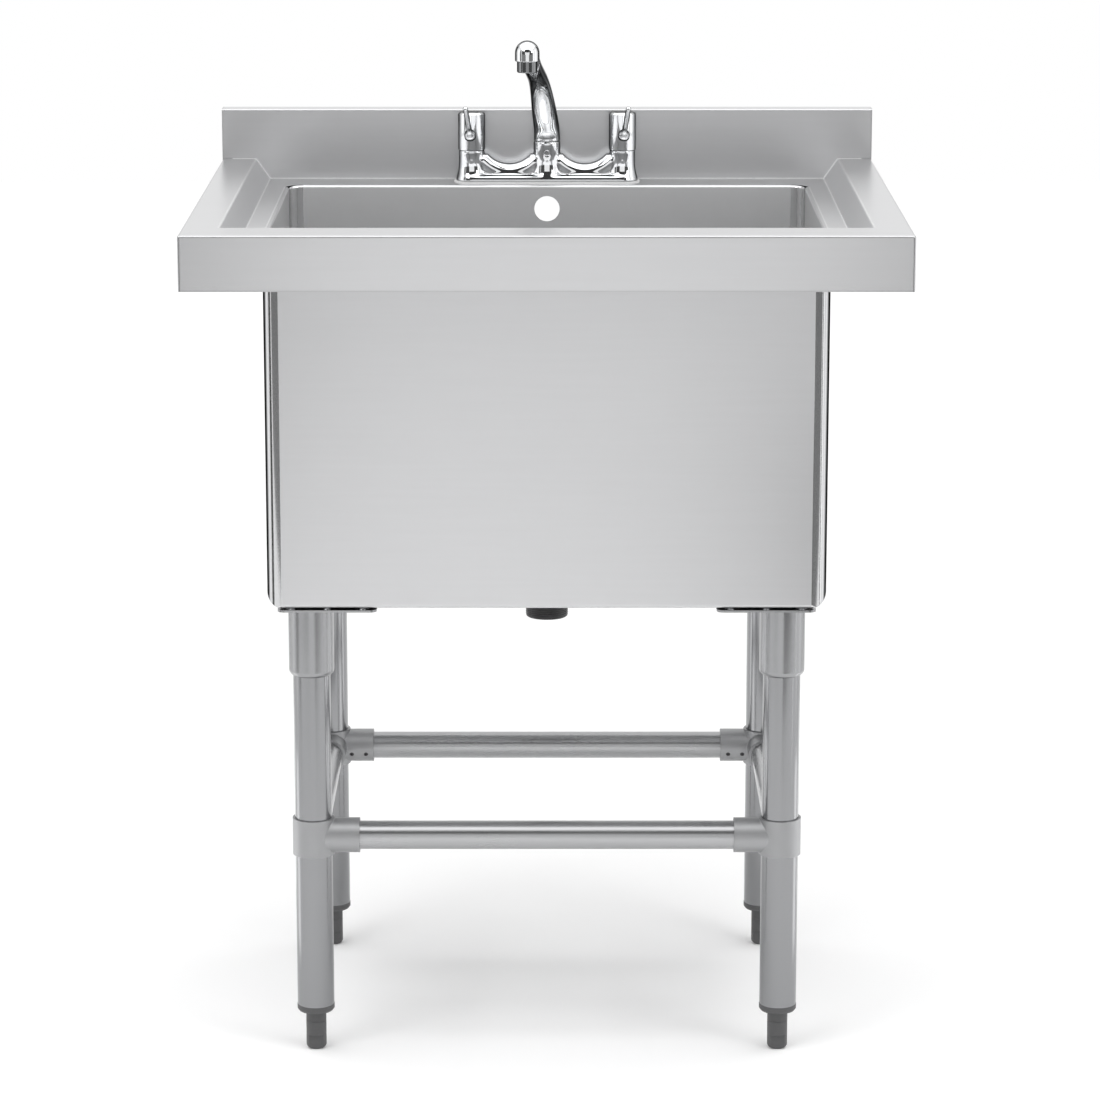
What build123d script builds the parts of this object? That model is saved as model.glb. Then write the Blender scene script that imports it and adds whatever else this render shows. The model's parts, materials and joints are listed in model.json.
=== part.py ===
"""Deep utility sink: folded steel top and bowl on a round tube stand, with a two-lever deck mixer.

Millimetres. +Z is up and the floor is Z = 0. X runs along the front, which faces -Y. The origin is on
the floor, under the middle of the sink's outline.
"""
import os
from math import atan2, cos, hypot, radians, sin, sqrt, tan

from build123d import *

# ------------------------------------------------------------------ driving dimensions
# sink top
overall_width = 780.0
overall_depth = 650.0
rim_height = 940.0
apron_height = 60.0
apron_return = 12.0
top_sheet = 1.2
sheet_bend = 2.5
crest_bend = 2.5
crest_flats = 4
front_rim_flat = 58.0
side_rim_flat = 40.0
slope_run = 17.0
basin_drop = 24.0
upstand_rise = 60.0
upstand_thickness = 25.0
upstand_hem = 20.0

# bowl
bowl_length = 612.0
bowl_width = 485.0
bowl_depth = 399.0
bowl_sheet = 1.0
bowl_corner = 16.0
bowl_front_bend = 3.0
bend_flattening = 1.06
bowl_front_strip = 1.5
lip_bend = 3.0
lip_flange = 1.5
overflow_diameter = 30.0
overflow_drop = 28.0

# waste
waste_dish_depth = 5.0
waste_dish_floor_radius = 36.0
waste_hole_diameter = 46.0
waste_flange_diameter = 70.0
waste_tail_diameter = 47.8
waste_tail_bore = 40.0
waste_reach = 67.0
waste_cup_diameter = 64.0
waste_cup_height = 20.0
seal_thickness = 1.5
waste_screw_diameter = 6.0

# stand
leg_spacing_x = 520.0
front_leg_setback = 106.0
leg_spacing_y = 374.0
leg_diameter = 41.3
leg_wall = 1.5
rail_diameter = 31.8
rail_wall = 1.2
rail_height = 250.0
plate_size = 109.0
plate_thickness = 2.5
plate_corner = 8.0
plate_inboard_shift = 19.0
plate_leg_edge = 26.0
boss_height = 2.0
boss_radius = 6.0
boss_pitch = 39.0
boss_edge = 9.0
socket_wall = 4.2
socket_length = 75.5
socket_nose = 6.0
socket_nose_lean = 3.5
leg_insertion = 65.0
collar_wall = 2.6
collar_margin = 3.0
branch_wall = 3.45
branch_length = 30.85
rail_end_gap = 1.5
branch_blend = 1.2
grub_diameter = 5.4
grub_length = 3.6
grub_recess = 0.4
grub_key = 2.5
grub_offsets = (4.85, 21.85)
grub_tilt = 21.0
socket_grub_diameter = 8.0

# feet
tube_end_height = 53.0
foot_diameter = 22.7
foot_height = 33.0
foot_nose = 5.5
foot_flats = 15.6
foot_flats_height = 17.0
foot_stud_diameter = 12.0
foot_stud_length = 42.0
foot_flange_thickness = 8.5
foot_plug_length = 30.0

# tap
tap_setback = 600.0
tap_centres = 180.0
gasket_thickness = 2.0
gasket_margin = 2.0
tap_base_width = 218.0
tap_base_depth = 40.0
tap_base_height = 7.0
pillar_top_radius = 15.3
pillar_foot_radius = 18.0
pillar_top = 38.6
arm_radius = 11.0
arm_bend = 44.0
arm_centre_height = 55.0
arm_half_angle = 52.0
column_radius = 16.0
column_foot_radius = 19.0
column_top = 49.0
hub_radius = 16.0
hub_height = 44.5
hub_wall = 2.0
lever_yaw = 6.0
lever_root = (13.0, 17.0)
lever_tip = (61.0, 57.0)
lever_root_radius = 7.0
lever_neck_radius = 3.0
lever_blade_radius = 3.1
cartridge_radius = 10.0
cartridge_depth = 22.0
spindle_radius = 4.0
handle_screw_radius = 2.5
spout_yaw = 9.0
spout_path = ((0.0, 49.3), (4.0, 66.0), (17.0, 82.0), (48.0, 116.0), (86.0, 139.0), (120.0, 156.0), (140.0, 165.5))
spout_slopes = (90.0, 68.0, 50.0, 40.0, 28.0, 26.0, 25.0)
spout_radii = (15.6, 15.3, 14.9, 12.6, 11.2, 10.8, 10.6)
spout_wall = 2.2
head_reach = 145.0
spigot_radius = 10.0
spigot_length = 26.0
head_radius = 14.3
head_top = 183.0
head_bottom = 159.0
aerator_radius = 11.9
aerator_length = 12.7
spout_screw_drop = 13.0
spout_screw_radius = 2.5
tail_diameter = 20.9
tail_bore = 13.0
tail_length = 52.0
tail_free_length = 36.0
tail_relief = 0.6
tap_hole_diameter = 24.0
backnut_across_flats = 30.0
backnut_height = 9.0

# clearances between pieces
slip_fit = 0.15
running_fit = 0.05
joint_gap = 0.3

# ------------------------------------------------------------------ derived places
half_width = overall_width / 2
front_y = -overall_depth / 2
back_y = overall_depth / 2
upstand_y = back_y - upstand_thickness
deck_z = rim_height - basin_drop
deck_underside = deck_z - top_sheet
apron_bottom = rim_height - apron_height
upstand_top = rim_height + upstand_rise
crest_half = half_width - side_rim_flat
crest_front = front_y + front_rim_flat
deck_half = crest_half - slope_run
deck_front = crest_front + slope_run

lip_reach = lip_bend + lip_flange
bowl_front = deck_front + bowl_front_strip + lip_reach
bowl_middle = bowl_front + bowl_width / 2
bowl_floor = deck_z - bowl_depth
bowl_underside = bowl_floor - bowl_sheet
overflow_z = deck_z - overflow_drop

plate_top = bowl_underside - boss_height
plate_bottom = plate_top - plate_thickness
socket_bottom = plate_bottom - socket_length
leg_top = socket_bottom + leg_insertion
leg_bore_radius = leg_diameter / 2 + slip_fit
rail_bore_radius = rail_diameter / 2 + slip_fit
socket_radius = leg_bore_radius + socket_wall
collar_radius = leg_bore_radius + collar_wall
branch_radius = rail_bore_radius + branch_wall
branch_reach = leg_diameter / 2 + branch_length
collar_height = 2 * branch_radius + collar_margin
rail_start = leg_diameter / 2 + rail_end_gap
front_leg_y = front_y + front_leg_setback
leg_places = {
    "front_left": (-leg_spacing_x / 2, front_leg_y),
    "front_right": (leg_spacing_x / 2, front_leg_y),
    "back_left": (-leg_spacing_x / 2, front_leg_y + leg_spacing_y),
    "back_right": (leg_spacing_x / 2, front_leg_y + leg_spacing_y),
}

tap_y = front_y + tap_setback
tap_base_z = deck_z + gasket_thickness
pillar_places = {"left": -tap_centres / 2, "right": tap_centres / 2}

os.makedirs("parts", exist_ok=True)


def finish(name, piece):
    """Names a finished piece and writes it."""
    piece.part.label = name
    export_step(piece.part, f"parts/{name}.step")


def upright_plane(x, y, yaw=0.0):
    """A vertical plane through (x, y). Its first axis is level, its second is up."""
    level = (cos(radians(yaw)), sin(radians(yaw)), 0)
    normal = (sin(radians(yaw)), -cos(radians(yaw)), 0)
    return Plane(origin=(x, y, 0), x_dir=level, z_dir=normal)


def turned(places, outline):
    """Turns a closed outline of (radius, height) points about the vertical through each place."""
    with BuildPart() as piece:
        for x, y in places:
            with BuildSketch(upright_plane(x, y)):
                with BuildLine():
                    Polyline(*outline, close=True)
                make_face()
            revolve(axis=Axis((x, y, 0), (0, 0, 1)))
    return piece


# ------------------------------------------------------------------ sink top
# The hollow under the folded sheet: everything below and behind the visible skin. The slopes are
# offset square to themselves, so that they are one sheet thick too.
slope_offset = top_sheet * hypot(slope_run, basin_drop) / basin_drop
slope_shift = slope_offset - top_sheet * slope_run / basin_drop
hollow_back = back_y + apron_return
with BuildPart() as under_recess:
    for level, half, front in (
        (deck_underside, deck_half + slope_shift, deck_front - slope_shift),
        (rim_height - top_sheet, crest_half + slope_shift, crest_front - slope_shift),
    ):
        with BuildSketch(Plane.XY.offset(level)):
            with Locations((0, (front + upstand_y + top_sheet) / 2)):
                Rectangle(2 * half, upstand_y + top_sheet - front)
    loft(ruled=True)

with BuildPart() as top_hollow:
    with BuildSketch(Plane.XY.offset(apron_bottom + top_sheet)):
        with Locations((0, (front_y + top_sheet + hollow_back) / 2)):
            Rectangle(overall_width - 2 * top_sheet, hollow_back - front_y - top_sheet)
    extrude(amount=apron_height - 2 * top_sheet)
    with BuildSketch(Plane.XY.offset(apron_bottom)):
        with Locations((0, (front_y + apron_return + hollow_back) / 2)):
            Rectangle(overall_width - 2 * apron_return, hollow_back - front_y - apron_return)
    extrude(amount=top_sheet)
    add(under_recess.part, mode=Mode.SUBTRACT)
    with BuildSketch(Plane.XY.offset(rim_height - top_sheet)):
        with Locations((0, (upstand_y + top_sheet + hollow_back) / 2)):
            Rectangle(overall_width - 2 * top_sheet, hollow_back - upstand_y - top_sheet)
    extrude(amount=upstand_rise + top_sheet - upstand_hem)
    with BuildSketch(Plane.XY.offset(upstand_top - upstand_hem)):
        with Locations((0, (upstand_y + back_y) / 2)):
            Rectangle(overall_width - 2 * top_sheet, upstand_thickness - 2 * top_sheet)
    extrude(amount=upstand_hem - top_sheet)

# The bend at the crest, where the level rim turns down into the slope, in short flats.
slope_angle = atan2(basin_drop, slope_run)
crest_tangent = crest_bend * tan(slope_angle / 2)
crest_sections = [(deck_z, slope_run)] + [
    (rim_height - crest_bend * (1 - cos(angle)), crest_bend * sin(angle) - crest_tangent)
    for angle in (slope_angle * step / crest_flats for step in range(crest_flats, -1, -1))
]

with BuildPart() as sink_top:
    with BuildSketch(Plane.XY.offset(apron_bottom)):
        Rectangle(overall_width, overall_depth)
    extrude(amount=apron_height)
    with BuildSketch(Plane.XY.offset(rim_height)):
        with Locations((0, (upstand_y + back_y) / 2)):
            Rectangle(overall_width, upstand_thickness)
    extrude(amount=upstand_rise)
    for level, inset in crest_sections:
        with BuildSketch(Plane.XY.offset(level)):
            with Locations((0, (crest_front + inset + upstand_y) / 2)):
                Rectangle(2 * (crest_half - inset), upstand_y - crest_front - inset)
    loft(ruled=True, mode=Mode.SUBTRACT)
    # bends: outer front corners, then the long folds of the rims and the upstand
    corners = sink_top.edges().filter_by(Axis.Z).filter_by_position(Axis.Y, front_y - 1, front_y + 1)
    fillet(corners, radius=sheet_bend)
    rim_edges = sink_top.edges().filter_by_position(Axis.Z, rim_height - 0.1, rim_height + 0.1)
    outer_rim = rim_edges.filter_by(lambda e: e.center().Y < crest_front - 1 or abs(e.center().X) > crest_half + 1)
    fillet(outer_rim.filter_by(lambda e: e.center().Y < upstand_y - 1), radius=sheet_bend)
    top_edges = sink_top.edges().filter_by_position(Axis.Z, upstand_top - 0.1, upstand_top + 0.1)
    fillet(top_edges.filter_by(Axis.X), radius=sheet_bend)
    add(top_hollow.part, mode=Mode.SUBTRACT)
    # opening that the bowl's lip is welded into, and the two tap holes
    with BuildSketch(Plane.XY.offset(deck_underside - top_sheet)):
        with Locations((0, bowl_middle)):
            RectangleRounded(bowl_length + 2 * lip_reach, bowl_width + 2 * lip_reach, bowl_corner + lip_reach)
    extrude(amount=3 * top_sheet, mode=Mode.SUBTRACT)
    with BuildSketch(Plane.XY.offset(deck_underside - top_sheet)):
        with Locations(*[(x, tap_y) for x in pillar_places.values()]):
            Circle(tap_hole_diameter / 2)
    extrude(amount=3 * top_sheet, mode=Mode.SUBTRACT)
finish("sink_top", sink_top)


# ------------------------------------------------------------------ bowl
def tray_outline(plane, middle, half, bottom, top, bend):
    """A closed outline with its two lower corners bent, a little flatter than a true quarter turn.

    The flatter arc meets the walls at a small angle, which keeps the corner where three bends meet clean.
    """
    pulled = bend * (1 - sqrt(0.5)) * bend_flattening
    with BuildSketch(plane) as outline:
        with BuildLine():
            Polyline((middle - half, bottom + bend), (middle - half, top), (middle + half, top),
                     (middle + half, bottom + bend))
            ThreePointArc((middle + half, bottom + bend), (middle + half - pulled, bottom + pulled),
                          (middle + half - bend, bottom))
            Line((middle + half - bend, bottom), (middle - half + bend, bottom))
            ThreePointArc((middle - half + bend, bottom), (middle - half + pulled, bottom + pulled),
                          (middle - half, bottom + bend))
        make_face()
    return outline


def bowl_block(grow, top):
    """The bowl's inside grown by a wall: rounded seen from above, from the front and from the side."""
    bottom = bowl_floor - grow
    from_front = tray_outline(Plane.XZ, 0, bowl_length / 2 + grow, bottom, top, bowl_corner + grow)
    from_side = tray_outline(Plane.YZ, bowl_middle, bowl_width / 2 + grow, bottom, top, bowl_front_bend + grow)
    with BuildPart() as block:
        with BuildSketch(Plane.XY.offset(bottom)):
            with Locations((0, bowl_middle)):
                RectangleRounded(bowl_length + 2 * grow, bowl_width + 2 * grow, bowl_corner + grow)
        extrude(amount=top - bottom)
        extrude(from_front.sketch, amount=overall_depth, both=True, mode=Mode.INTERSECT)
        extrude(from_side.sketch, amount=overall_width, both=True, mode=Mode.INTERSECT)
    return block


# The lip is one rolled profile, led round the mouth from the middle of the right-hand wall.
lip_start = deck_z - lip_bend
mouth_half = bowl_length / 2
mouth_front = bowl_middle - bowl_width / 2
mouth_back = bowl_middle + bowl_width / 2
with BuildPart() as lip:
    with BuildLine(Plane.XY.offset(lip_start)) as mouth:
        Line((mouth_half, bowl_middle), (mouth_half, mouth_front + bowl_corner))
        CenterArc((mouth_half - bowl_corner, mouth_front + bowl_corner), bowl_corner, 0, -90)
        Line((mouth_half - bowl_corner, mouth_front), (bowl_corner - mouth_half, mouth_front))
        CenterArc((bowl_corner - mouth_half, mouth_front + bowl_corner), bowl_corner, -90, -90)
        Line((-mouth_half, mouth_front + bowl_corner), (-mouth_half, mouth_back - bowl_corner))
        CenterArc((bowl_corner - mouth_half, mouth_back - bowl_corner), bowl_corner, 180, -90)
        Line((bowl_corner - mouth_half, mouth_back), (mouth_half - bowl_corner, mouth_back))
        CenterArc((mouth_half - bowl_corner, mouth_back - bowl_corner), bowl_corner, 90, -90)
        Line((mouth_half, mouth_back - bowl_corner), (mouth_half, bowl_middle))
    with BuildSketch(Plane(origin=(mouth_half, bowl_middle, lip_start), x_dir=(1, 0, 0), z_dir=(0, -1, 0))):
        with BuildLine():
            CenterArc((lip_bend, 0), lip_bend, 90, 90)
            Line((lip_bend, lip_bend), (lip_reach, lip_bend))
            Line((lip_reach, lip_bend), (lip_reach, lip_bend - bowl_sheet))
            Line((lip_reach, lip_bend - bowl_sheet), (lip_bend, lip_bend - bowl_sheet))
            CenterArc((lip_bend, 0), lip_bend - bowl_sheet, 90, 90)
            Line((bowl_sheet, 0), (0, 0))
        make_face()
    sweep(path=mouth.line)

with BuildPart() as bowl:
    add(bowl_block(bowl_sheet, lip_start).part)
    add(bowl_block(0, lip_start).part, mode=Mode.SUBTRACT)
    add(lip.part)
    # overflow hole in the back wall
    with BuildSketch(Plane.XZ.offset(-bowl_middle)):
        with Locations((0, overflow_z)):
            Circle(overflow_diameter / 2)
    extrude(amount=-bowl_width, mode=Mode.SUBTRACT)
    # dished seat for the waste, pressed into the middle of the floor
    dish_floor = bowl_underside - waste_dish_depth
    rise = waste_dish_depth
    lean = bowl_sheet * (sqrt(2) - 1)
    with BuildSketch(Plane.XY.offset(bowl_underside - bowl_sheet)):
        with Locations((0, bowl_middle)):
            Circle(waste_dish_floor_radius + rise - lean)
    extrude(amount=3 * bowl_sheet, mode=Mode.SUBTRACT)
    with BuildSketch(upright_plane(0, bowl_middle)):
        with BuildLine():
            Polyline(
                (waste_hole_diameter / 2, dish_floor),
                (waste_dish_floor_radius, dish_floor),
                (waste_dish_floor_radius + rise, bowl_underside),
                (waste_dish_floor_radius + rise, bowl_floor),
                (waste_dish_floor_radius + rise - lean, bowl_floor),
                (waste_dish_floor_radius - lean, dish_floor + bowl_sheet),
                (waste_hole_diameter / 2, dish_floor + bowl_sheet),
                close=True,
            )
        make_face()
    revolve(axis=Axis((0, bowl_middle, 0), (0, 0, 1)))
finish("bowl", bowl)


# ------------------------------------------------------------------ waste
waste_place = [(0, bowl_middle)]
upper_seal_base = dish_floor + bowl_sheet
flange_base = upper_seal_base + seal_thickness
flange_thickness = 1.5
flange_top = flange_base + flange_thickness
lower_seal_top = dish_floor
cup_top = lower_seal_top - seal_thickness
cup_bottom = cup_top - waste_cup_height
tail_bottom = bowl_underside - waste_reach
bridge_top = cup_bottom + 8
spigot_outer = waste_hole_diameter / 2 - 1
spigot_inner = spigot_outer - 1.5
spigot_bottom = cup_top - 8
slot_ring_radius = 12.0
slot_count = 8
slot_radius = 3.0
screw_head_radius = 5.0
screw_head_height = 2.0

upper_seal = turned(waste_place, [
    (spigot_outer + joint_gap, upper_seal_base), (waste_flange_diameter / 2 - 2, upper_seal_base),
    (waste_flange_diameter / 2 - 2, flange_base), (spigot_outer + joint_gap, flange_base)])
finish("waste_upper_seal", upper_seal)

with BuildPart() as strainer:
    with BuildSketch(upright_plane(0, bowl_middle)):
        with BuildLine():
            Polyline(
                (0, flange_base - 1), (0, flange_top - 1), (spigot_inner - 2, flange_top - 1),
                (spigot_inner, flange_top), (waste_flange_diameter / 2, flange_top - 0.6),
                (waste_flange_diameter / 2, flange_base), (spigot_outer, flange_base),
                (spigot_outer, spigot_bottom), (spigot_inner, spigot_bottom),
                (spigot_inner, flange_base - 1), close=True)
        make_face()
    revolve(axis=Axis((0, bowl_middle, 0), (0, 0, 1)))
    with BuildSketch(Plane.XY.offset(flange_base - 2)):
        with Locations((0, bowl_middle)):
            with PolarLocations(slot_ring_radius, slot_count):
                Circle(slot_radius)
            Circle(waste_screw_diameter / 2 + slip_fit)
    extrude(amount=2 * seal_thickness + 2, mode=Mode.SUBTRACT)
finish("waste_strainer", strainer)

waste_screw = turned(waste_place, [
    (0, bridge_top - 6), (waste_screw_diameter / 2, bridge_top - 6),
    (waste_screw_diameter / 2, flange_top - 1), (screw_head_radius, flange_top - 1),
    (screw_head_radius, flange_top - 0.4 + screw_head_height / 2),
    (screw_head_radius - 2, flange_top - 1 + screw_head_height), (0, flange_top - 1 + screw_head_height)])
finish("waste_screw", waste_screw)

lower_seal = turned(waste_place, [
    (spigot_outer + joint_gap, cup_top), (waste_cup_diameter / 2, cup_top),
    (waste_cup_diameter / 2, lower_seal_top), (spigot_outer + joint_gap, lower_seal_top)])
finish("waste_lower_seal", lower_seal)

with BuildPart() as waste_body:
    with BuildSketch(upright_plane(0, bowl_middle)):
        with BuildLine():
            Polyline(
                (spigot_outer + joint_gap, cup_top), (waste_cup_diameter / 2, cup_top),
                (waste_cup_diameter / 2, cup_top - 6), (waste_tail_diameter / 2 + 2, cup_bottom),
                (waste_tail_diameter / 2, cup_bottom), (waste_tail_diameter / 2, tail_bottom + 1),
                (waste_tail_diameter / 2 - 1, tail_bottom), (waste_tail_bore / 2, tail_bottom),
                (waste_tail_bore / 2, cup_bottom + 4), (spigot_outer + joint_gap, cup_bottom + 8), close=True)
        make_face()
    revolve(axis=Axis((0, bowl_middle, 0), (0, 0, 1)))
    # bridge across the bore that the waste screw pulls on
    with BuildSketch(Plane.XY.offset(cup_bottom)):
        with Locations((0, bowl_middle)):
            Rectangle(waste_tail_diameter - 2, 5)
            Circle(6)
            Circle(waste_screw_diameter / 2 + slip_fit, mode=Mode.SUBTRACT)
    extrude(amount=bridge_top - cup_bottom)
finish("waste_body", waste_body)


# ------------------------------------------------------------------ stand
def leg_plate(x, y):
    """Square plate under the bowl's floor, with two rows of pressed bosses that are spot welded."""
    inboard = -1 if x > 0 else 1
    inward = 1 if y < bowl_middle else -1
    centre_x = x + inboard * plate_inboard_shift
    centre_y = y + inward * (plate_size / 2 - plate_leg_edge)
    with BuildPart() as plate:
        with BuildSketch(Plane.XY.offset(plate_bottom)):
            with Locations((centre_x, centre_y)):
                RectangleRounded(plate_size, plate_size, plate_corner)
        extrude(amount=plate_thickness)
        with BuildSketch(Plane.XY.offset(plate_top)):
            with Locations((centre_x, centre_y)):
                with GridLocations(boss_pitch, plate_size - 2 * boss_edge, 3, 2):
                    Circle(boss_radius)
        extrude(amount=boss_height, taper=30)
    return plate


def leg_socket(x, y):
    """Spun cup that the leg stands in: rounded nose, one tapped hole on its inner side."""
    inward = 1 if y < bowl_middle else -1
    outer = socket_radius
    with BuildPart() as socket:
        with BuildSketch(upright_plane(x, y)):
            with BuildLine():
                Polyline(
                    (outer, socket_bottom + socket_nose), (outer, plate_bottom), (0, plate_bottom),
                    (0, leg_top + joint_gap), (leg_bore_radius, leg_top + joint_gap),
                    (leg_bore_radius, socket_bottom), (outer - socket_nose_lean, socket_bottom))
                TangentArc((outer, socket_bottom + socket_nose), (outer - socket_nose_lean, socket_bottom),
                           tangent=(0, -1))
            make_face()
        revolve(axis=Axis((x, y, 0), (0, 0, 1)))
        with BuildSketch(Plane(origin=(x, y, socket_grub_z), x_dir=(1, 0, 0), z_dir=(0, inward, 0))):
            Circle(socket_grub_diameter / 2)
        extrude(amount=outer, mode=Mode.SUBTRACT)
    return socket


def leg_tube(x, y):
    """Round leg tube from its foot insert to the top of its socket."""
    with BuildPart() as tube:
        with BuildSketch(Plane.XY.offset(tube_end_height)):
            with Locations((x, y)):
                Circle(leg_diameter / 2)
                Circle(leg_diameter / 2 - leg_wall, mode=Mode.SUBTRACT)
        extrude(amount=leg_top - tube_end_height)
    return tube


def branch_directions(x, y):
    """The two level directions from a leg towards its neighbours."""
    return (-1 if x > 0 else 1, 0, 0), (0, 1 if y < bowl_middle else -1, 0)


def grub_planes(x, y):
    """Where a connector's grub screws enter: a pair on the inner side of each branch, below its middle."""
    along_x, along_y = branch_directions(x, y)
    planes = []
    for along, inner in ((along_x, along_y), (along_y, along_x)):
        outward = (inner[0] * cos(radians(grub_tilt)), inner[1] * cos(radians(grub_tilt)), -sin(radians(grub_tilt)))
        for offset in grub_offsets:
            reach = leg_diameter / 2 + offset
            centre = (x + along[0] * reach, y + along[1] * reach, rail_height)
            planes.append(Plane(origin=centre, x_dir=along, z_dir=outward))
    return planes


def corner_connector(x, y):
    """Cast connector: a collar round the leg and two branches that hold the rails."""
    with BuildPart() as connector:
        with BuildSketch(Plane.XY.offset(rail_height - collar_height / 2)):
            with Locations((x, y)):
                Circle(collar_radius)
        extrude(amount=collar_height)
        for along in branch_directions(x, y):
            with BuildSketch(Plane(origin=(x, y, rail_height), z_dir=along)):
                Circle(branch_radius)
            extrude(amount=branch_reach)
        seams = connector.edges().filter_by(lambda e: e.geom_type != GeomType.CIRCLE and e.geom_type != GeomType.LINE)
        fillet(seams, radius=branch_blend)
        for along in branch_directions(x, y):
            with BuildSketch(Plane(origin=(x, y, rail_height), z_dir=along)):
                Circle(rail_bore_radius)
            extrude(amount=branch_reach, mode=Mode.SUBTRACT)
        with BuildSketch(Plane.XY.offset(rail_height - collar_height / 2)):
            with Locations((x, y)):
                Circle(leg_bore_radius)
        extrude(amount=collar_height, mode=Mode.SUBTRACT)
        for plane in grub_planes(x, y):
            with BuildSketch(plane):
                Circle(grub_diameter / 2)
            extrude(amount=2 * branch_radius, mode=Mode.SUBTRACT)
    return connector


def foot_insert(x, y):
    """Plastic end piece: a plug in the tube, a flange over its end and a neck above the foot."""
    bore = foot_stud_diameter / 2 + running_fit
    neck_bottom = foot_height + joint_gap
    flange_bottom = tube_end_height - foot_flange_thickness
    return turned([(x, y)], [
        (bore, neck_bottom), (foot_diameter / 2, neck_bottom), (foot_diameter / 2, flange_bottom - 1.5),
        (foot_diameter / 2 + 3, flange_bottom), (leg_diameter / 2 - 1.5, flange_bottom + 1),
        (leg_diameter / 2 + 0.3, flange_bottom + 3.5), (leg_diameter / 2 + 0.3, tube_end_height),
        (leg_diameter / 2 - leg_wall - slip_fit, tube_end_height),
        (leg_diameter / 2 - leg_wall - slip_fit, tube_end_height + foot_plug_length - 2),
        (leg_diameter / 2 - leg_wall - 2, tube_end_height + foot_plug_length),
        (bore, tube_end_height + foot_plug_length)])


def adjustable_foot(x, y):
    """Plastic foot with a rounded end and two spanner flats, on a threaded stud."""
    with BuildPart() as foot:
        with BuildSketch(Plane.XY):
            with Locations((x, y)):
                Circle(foot_diameter / 2)
        extrude(amount=foot_height)
        fillet(foot.edges().group_by(Axis.Z)[0], radius=foot_nose)
        with BuildSketch(Plane.XY):
            with Locations((x, y)):
                Circle(foot_diameter)
                Rectangle(3 * foot_diameter, foot_flats, mode=Mode.SUBTRACT)
        extrude(amount=foot_flats_height, mode=Mode.SUBTRACT)
        with BuildSketch(Plane.XY.offset(foot_height)):
            with Locations((x, y)):
                Circle(foot_stud_diameter / 2)
        extrude(amount=foot_stud_length)
        chamfer(foot.edges().group_by(Axis.Z)[-1], length=1)
    return foot


socket_grub_z = socket_bottom + socket_length / 2
for corner, (x, y) in leg_places.items():
    finish(f"leg_plate_{corner}", leg_plate(x, y))
    finish(f"leg_socket_{corner}", leg_socket(x, y))
    finish(f"leg_tube_{corner}", leg_tube(x, y))
    finish(f"corner_connector_{corner}", corner_connector(x, y))
    finish(f"foot_insert_{corner}", foot_insert(x, y))
    finish(f"adjustable_foot_{corner}", adjustable_foot(x, y))

with BuildPart() as socket_grubs:
    for x, y in leg_places.values():
        inward = 1 if y < bowl_middle else -1
        start = leg_diameter / 2 + 0.1
        grub_plane = Plane(origin=(x, y + inward * start, socket_grub_z), x_dir=(1, 0, 0), z_dir=(0, inward, 0))
        with BuildSketch(grub_plane):
            Circle(socket_grub_diameter / 2 - slip_fit)
        extrude(amount=socket_radius - start + 1)
        with BuildSketch(grub_plane.offset(2)):
            RegularPolygon(socket_grub_diameter / 4, 6)
        extrude(amount=socket_radius, mode=Mode.SUBTRACT)
finish("socket_grub_screws", socket_grubs)

with BuildPart() as connector_grubs:
    for x, y in leg_places.values():
        for plane in grub_planes(x, y):
            seat = plane.offset(rail_diameter / 2 + 0.05)
            with BuildSketch(seat):
                Circle(grub_diameter / 2 - slip_fit)
            extrude(amount=branch_radius - rail_diameter / 2 - grub_recess)
            with BuildSketch(seat.offset(1)):
                RegularPolygon(grub_key / 2, 6)
            extrude(amount=grub_length, mode=Mode.SUBTRACT)
finish("connector_grub_screws", connector_grubs)


def rail(start, direction, length):
    """Round rail between two connectors, level at the rail height."""
    with BuildPart() as tube:
        with BuildSketch(Plane(origin=(*start, rail_height), z_dir=(*direction, 0))):
            Circle(rail_diameter / 2)
            Circle(rail_diameter / 2 - rail_wall, mode=Mode.SUBTRACT)
        extrude(amount=length)
    return tube


left_x, right_x = -leg_spacing_x / 2, leg_spacing_x / 2
back_leg_y = front_leg_y + leg_spacing_y
long_rail = leg_spacing_x - 2 * rail_start
short_rail = leg_spacing_y - 2 * rail_start
finish("rail_front", rail((left_x + rail_start, front_leg_y), (1, 0), long_rail))
finish("rail_back", rail((left_x + rail_start, back_leg_y), (1, 0), long_rail))
finish("rail_left", rail((left_x, front_leg_y + rail_start), (0, 1), short_rail))
finish("rail_right", rail((right_x, front_leg_y + rail_start), (0, 1), short_rail))

# ------------------------------------------------------------------ tap
with BuildPart() as gasket:
    with BuildSketch(Plane.XY.offset(deck_z)):
        with Locations((0, tap_y)):
            SlotOverall(tap_base_width + 2 * gasket_margin, tap_base_depth + 2 * gasket_margin)
        with Locations(*[(x, tap_y) for x in pillar_places.values()]):
            Circle(tail_diameter / 2 + slip_fit, mode=Mode.SUBTRACT)
    extrude(amount=gasket_thickness)
finish("tap_gasket", gasket)

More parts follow.
